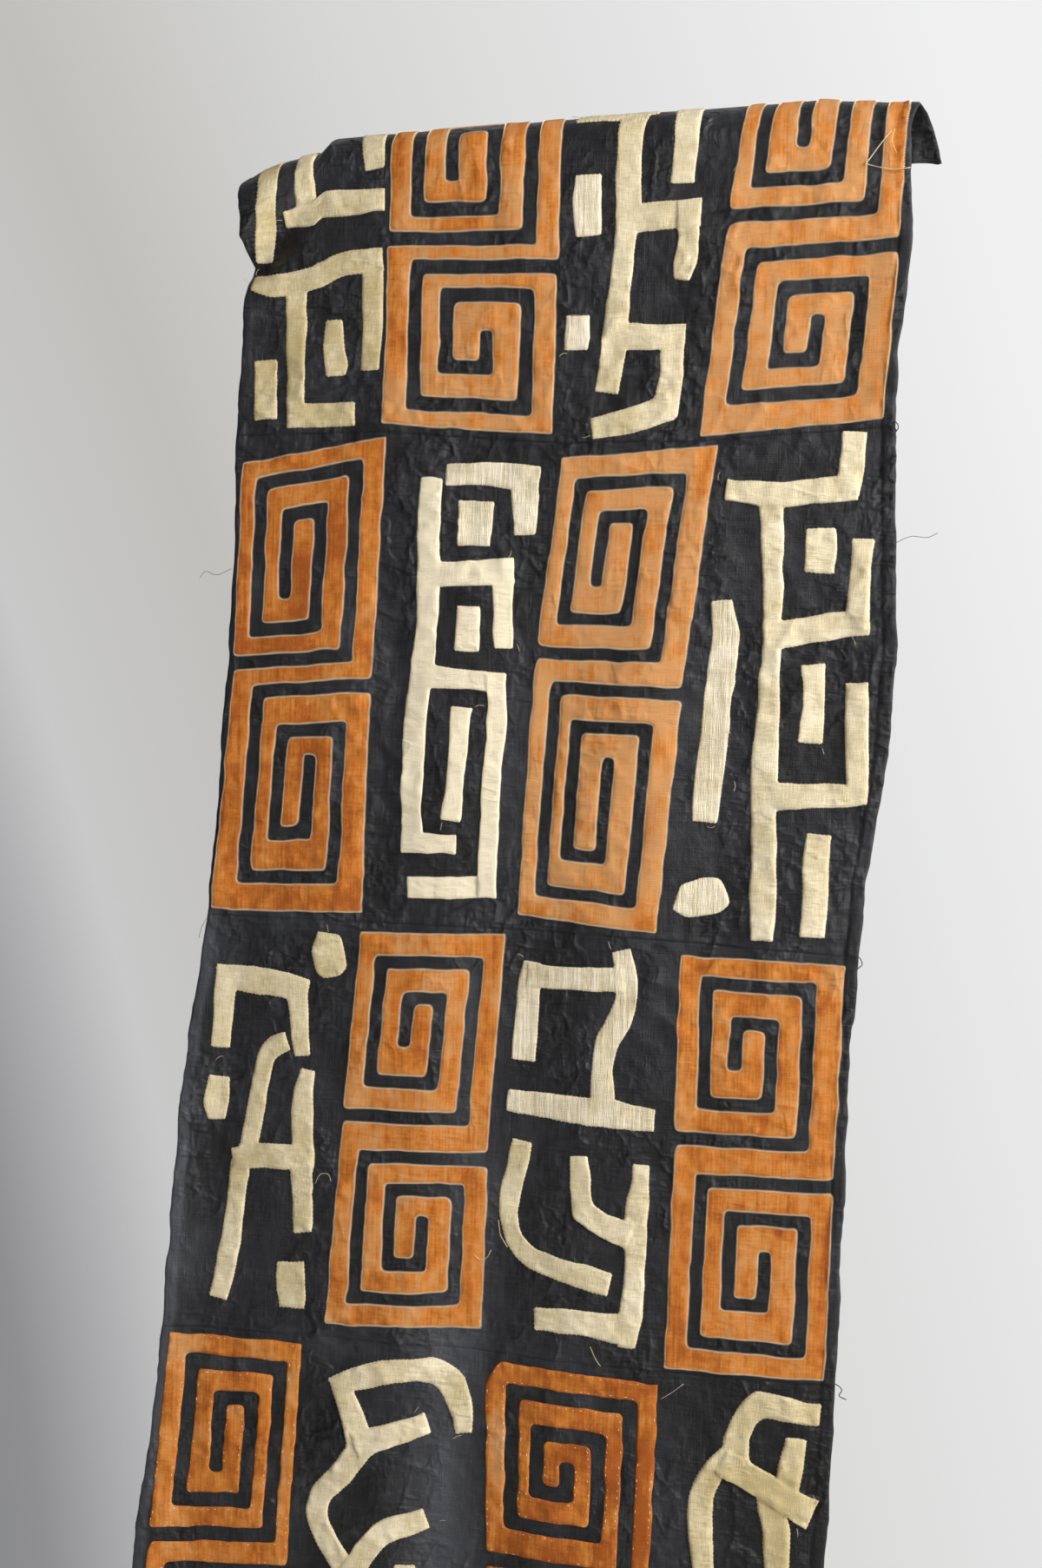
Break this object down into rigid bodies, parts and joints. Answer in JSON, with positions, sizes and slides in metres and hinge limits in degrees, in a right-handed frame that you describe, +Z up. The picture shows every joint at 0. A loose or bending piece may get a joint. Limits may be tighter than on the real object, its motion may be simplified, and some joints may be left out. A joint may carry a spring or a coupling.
{
  "type": "hanging textile",
  "caption": "Long woven raffia cloth hung by its fold, black ground panels sewn end to end with orange double-spiral blocks and cream shapes sewn on.",
  "frame": {"origin": "on the inner face of the cloth at the crest of its fold, on top of the bar that it hangs over", "axes": "+Z up, +X to the right along the fold seen from the front, -Y out of the patterned front"},
  "size_m": [0.8299, 0.0739, 1.7302],
  "materials": {
    "black_raffia": "dyed black plain-weave raffia, dull sheen",
    "orange_raffia": "dyed orange plain-weave raffia, mottled, matt",
    "cream_raffia": "undyed plain-weave raffia, matt",
    "pale_raffia": "undyed ribbed raffia, paler, matt"
  },
  "bodies": {
    "root": {"cream_1a": "cream_raffia", "cream_1b": "cream_raffia", "cream_1c": "cream_raffia", "cream_1d": "cream_raffia", "cream_1e": "cream_raffia", "cream_1f": "cream_raffia", "cream_1g": "cream_raffia", "cream_1h": "cream_raffia", "cream_1i": "pale_raffia", "cream_1j": "pale_raffia", "cream_2a": "cream_raffia", "cream_2b": "pale_raffia", "cream_2c": "pale_raffia", "cream_2d": "cream_raffia", "cream_2e": "cream_raffia", "cream_2f": "cream_raffia", "cream_2g": "cream_raffia", "cream_2h": "cream_raffia", "cream_2i": "cream_raffia", "cream_2j": "pale_raffia", "cream_2k": "pale_raffia", "cream_3a": "cream_raffia", "cream_3b": "cream_raffia", "cream_3c": "cream_raffia", "cream_3d": "cream_raffia", "cream_3e": "cream_raffia", "cream_3f": "pale_raffia", "cream_3g": "cream_raffia", "cream_3h": "cream_raffia", "cream_4a": "cream_raffia", "cream_4b": "cream_raffia", "cream_4c": "cream_raffia", "cream_4d": "cream_raffia", "panel_1": "black_raffia", "panel_2": "black_raffia", "panel_3": "black_raffia", "panel_4": "black_raffia", "spiral_1a": "orange_raffia", "spiral_1b": "orange_raffia", "spiral_2a": "orange_raffia", "spiral_2b": "orange_raffia", "spiral_3a": "orange_raffia", "spiral_3b": "orange_raffia", "spiral_4a": "orange_raffia", "spiral_4b": "orange_raffia"}
  },
  "joints": []
}
